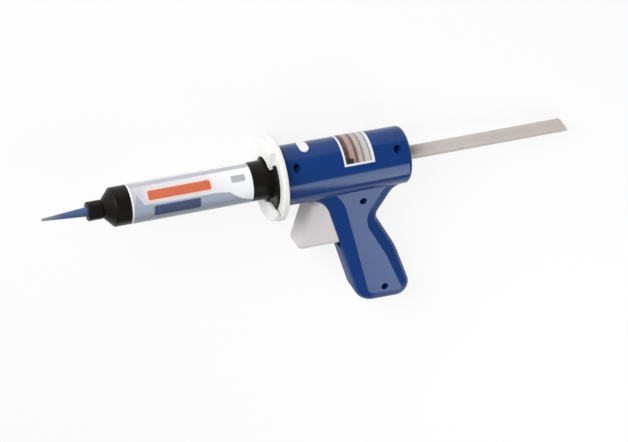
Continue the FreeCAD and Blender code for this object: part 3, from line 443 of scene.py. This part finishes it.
stickerPrint = {
    "radius": 0.0200, "paper": (0.80, 0.81, 0.86, 1), "roughness": 0.3, "smudges": 0.1,
    "centre": (0.0528, 0.0), "border": 0.0014, "halfWidth": 0.0107, "halfHeight": 0.0223,
    # from front to rear: share of the width, then the shade there
    "stripes": [(0.0, (0.055, 0.028, 0.024, 1)), (0.20, (0.11, 0.050, 0.040, 1)),
                (0.25, (0.42, 0.29, 0.26, 1)), (0.36, (0.46, 0.33, 0.29, 1)),
                (0.41, (0.15, 0.095, 0.085, 1)), (0.47, (0.17, 0.11, 0.10, 1)),
                (0.51, (0.52, 0.42, 0.37, 1)), (0.60, (0.55, 0.46, 0.41, 1)),
                (0.65, (0.20, 0.18, 0.17, 1)), (0.71, (0.55, 0.53, 0.52, 1)),
                (0.84, (0.60, 0.59, 0.60, 1)), (0.88, (0.16, 0.15, 0.15, 1)),
                (0.91, (0.75, 0.75, 0.78, 1))],
    "patch": (0.020, 0.026, 0.022, 1), "patchCentre": (0.0462, 0.0195),
    "patchHalf": (0.0030, 0.0022), "patchEdge": 0.0012,
}


def stickerFilm():
    layout = stickerPrint
    material, tree, shader = newMaterial("stickerFilm")
    places = useGroup(tree, gunPlaces)
    along = places.outputs["Along"]
    down = maths(tree, "MULTIPLY", places.outputs["Turn"], layout["radius"])
    field = useGroup(tree, printedShape, {
        "Across": along, "Down": down,
        "Centre Across": layout["centre"][0], "Centre Down": layout["centre"][1],
        "Half Width": layout["halfWidth"] - layout["border"],
        "Half Height": layout["halfHeight"] - layout["border"]})
    share = shareAlong(tree, along, layout["centre"][0] - layout["halfWidth"],
                       layout["centre"][0] + layout["halfWidth"])
    stripes = fillRamp(tree, share, layout["stripes"])
    patch = useGroup(tree, printedShape, {
        "Across": along, "Down": down,
        "Centre Across": layout["patchCentre"][0], "Centre Down": layout["patchCentre"][1],
        "Half Width": layout["patchHalf"][0], "Half Height": layout["patchHalf"][1],
        "Softness": layout["patchEdge"]})
    stripes = mixColours(tree, patch.outputs[0], stripes, layout["patch"])
    skin = useGroup(tree, mouldedSkin, {
        "Gloss": layout["roughness"], "Smudges": layout["smudges"]})
    tree.links.new(mixColours(tree, field.outputs[0], layout["paper"], stripes),
                   shader.inputs["Base Color"])
    tree.links.new(skin.outputs["Roughness"], shader.inputs["Roughness"])
    return material


def dress(material, *names):
    # every CAD piece of these names gets this one finish
    for name in names:
        node = nodes[name]
        node.data.materials.clear()
        node.data.materials.append(material)


dress(housingPlastic(), "housing_left", "housing_right")
dress(mouldedPlastic("collarCream", collarFinish)[0], "collar")
dress(mouldedPlastic("triggerGrey", triggerFinish)[0], "trigger")
dress(mouldedPlastic("rodGrey", rodFinish)[0], "push_rod", "pusher_head")
dress(mouldedPlastic("barrelBlack", barrelFinish)[0], "syringe_barrel")
dress(mouldedPlastic("innerWhite", innerFinish)[0], "syringe_piston", "pawl", "rod_brake")
dress(tipPlastic(), "dispensing_tip")
dress(labelFilm(), "barrel_label")
dress(stickerFilm(), "housing_sticker")
dress(steel("screwBlueing", screwFinish), "housing_screws")
dress(steel("springSteel", steelFinish), "head_screw", "trigger_pin", "trigger_spring",
      "pawl_pin", "pawl_spring", "brake_spring")
print("finishes made")


springs = {
    # the CAD springs are stiff; each row gives its legs' two bodies, its centre and two places
    # its coil winds between, in metres out of the gun's left side; here each is copied smooth
    "trigger_spring": {"name": "triggerSpringWound", "bodies": ("trigger", "gun"),
                       "centre": "trigger_pull", "winds": (-0.00195, 0.00180)},
    "pawl_spring": {"name": "pawlSpringWound", "bodies": ("trigger", "pawl"),
                    "centre": "pawl_swing", "winds": (0.00275, 0.00437)},
}
springMesh = {"weldWithin": 0.000001, "smoothUnder": 0.7}


def windSpring(nodeName):
    values = springs[nodeName]
    bpy.ops.object.select_all(action="DESELECT")
    nodes[nodeName].select_set(True)
    bpy.context.view_layer.objects.active = nodes[nodeName]
    bpy.ops.object.duplicate()
    spring = bpy.context.object
    spring.name = values["name"]
    spring.parent = None
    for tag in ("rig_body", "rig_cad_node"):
        del spring[tag]
    bpy.ops.object.mode_set(mode="EDIT")
    bpy.ops.mesh.select_all(action="SELECT")
    bpy.ops.mesh.remove_doubles(threshold=springMesh["weldWithin"])
    bpy.ops.object.mode_set(mode="OBJECT")
    bpy.ops.object.shade_smooth_by_angle(angle=springMesh["smoothUnder"])
    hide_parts(nodeName)
    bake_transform(spring)
    bpy.ops.object.select_all(action="DESELECT")


for springName in springs:
    windSpring(springName)


studio = {
    "floorSize": 6.0, "floorColour": (0.92, 0.92, 0.92, 1), "floorWhiteness": 0.85,
    "floorRoughness": 0.9, "floorGrain": 90.0, "floorGrainDetail": 3.0, "floorGrainShade": 0.985,
    "worldStrength": 0.27, "wallStrength": 0.97, "wallTop": 0.13, "wallFade": 0.05,
    # each lamp's place, aim and way up in the gun's own directions, its size and its power
    "sideBox": {"place": (0.228, -0.225, 0.318), "aim": (0.058, -0.015, 0.015),
                "top": (-0.23, 0.76, 0.65), "size": (0.17, 0.33), "power": 0.72},
    "frontBox": {"place": (-0.88, 0.80, 0.62), "aim": (0.0, 0.0, 0.0),
                 "top": (0.0, 0.8, -0.6), "size": (1.0, 1.0), "power": 18.5},
}


def addFloor():
    bpy.ops.mesh.primitive_plane_add(size=studio["floorSize"], location=(0, 0, 0))
    floor = bpy.context.object
    floor.name = "studioFloor"
    material, tree, shader = newMaterial("floorPaper")
    grain = addNode(tree, "ShaderNodeTexNoise", {
        "Scale": studio["floorGrain"], "Detail": studio["floorGrainDetail"]})
    shade = [channel * studio["floorGrainShade"] for channel in studio["floorColour"][:3]] + [1]
    tree.links.new(mixColours(tree, grain.outputs[0], studio["floorColour"], shade),
                   shader.inputs["Base Color"])
    shader.inputs["Roughness"].default_value = studio["floorRoughness"]
    # seen by the camera or in a reflection, the paper is nearly white and keeps soft shadows
    white = addNode(tree, "ShaderNodeEmission", {"Color": (1, 1, 1, 1), "Strength": 1.0})
    share = maths(tree, "MULTIPLY", seenOrMirrored(tree), studio["floorWhiteness"])
    blend = addNode(tree, "ShaderNodeMixShader", {0: share, 1: shader.outputs[0],
                                                  2: white.outputs[0]})
    tree.links.new(blend.outputs[0], tree.nodes["Material Output"].inputs["Surface"])
    floor.data.materials.append(material)


def facing(place, target, top):
    # a turn that looks from a place to a target, with a given way up
    back = (place - target).normalized()
    across = (gunTurn @ Vector(top)).cross(back).normalized()
    return Matrix((across, back.cross(across), back)).transposed().to_euler()


def addLight(name):
    values = studio[name]
    place = gunPoint(*values["place"])
    bpy.ops.object.light_add(type="AREA", location=place)
    lamp = bpy.context.object
    lamp.name = name
    lamp.rotation_euler = facing(place, gunPoint(*values["aim"]), values["top"])
    lamp.data.shape = "RECTANGLE"
    lamp.data.size, lamp.data.size_y = values["size"]
    lamp.data.energy = values["power"]


def setWorld():
    world = bpy.data.worlds.new("studioWorld")
    bpy.context.scene.world = world
    world.use_nodes = True
    tree = world.node_tree
    background = tree.nodes["Background"]
    background.inputs["Color"].default_value = (1, 1, 1, 1)
    # the camera and reflections see a white wall low down, past the end of the floor
    direction = addNode(tree, "ShaderNodeTexCoord")
    height = addNode(tree, "ShaderNodeSeparateXYZ", {0: direction.outputs["Generated"]})
    wall = shareAlong(tree, height.outputs[2], studio["wallTop"],
                      studio["wallTop"] - studio["wallFade"])
    strength = addNode(tree, "ShaderNodeMapRange", {
        "Value": maths(tree, "MULTIPLY", seenOrMirrored(tree), wall),
        "To Min": studio["worldStrength"], "To Max": studio["wallStrength"]})
    tree.links.new(strength.outputs[0], background.inputs["Strength"])


view = {
    # in the gun's own directions: the point looked at, and the way from it to the camera
    "target": (0.0228, -0.0323, 0.0109), "towards": (-0.2894, 0.5094, 0.8104),
    "top": (0.1760, 0.8605, -0.4781), "distance": 3.0, "farthest": 20.0, "lens": 259.3,
}


def addCamera():
    target = gunPoint(*view["target"])
    place = target + (gunTurn @ Vector(view["towards"])).normalized() * view["distance"]
    bpy.ops.object.camera_add(location=place)
    camera = bpy.context.object
    camera.rotation_euler = facing(place, target, view["top"])
    camera.data.lens = view["lens"]
    camera.data.clip_end = view["farthest"]
    bpy.context.scene.camera = camera


addFloor()
for lampName in ("sideBox", "frontBox"):
    addLight(lampName)
setWorld()
addCamera()
bpy.context.scene.view_settings.view_transform = "Standard"
print("studio made")
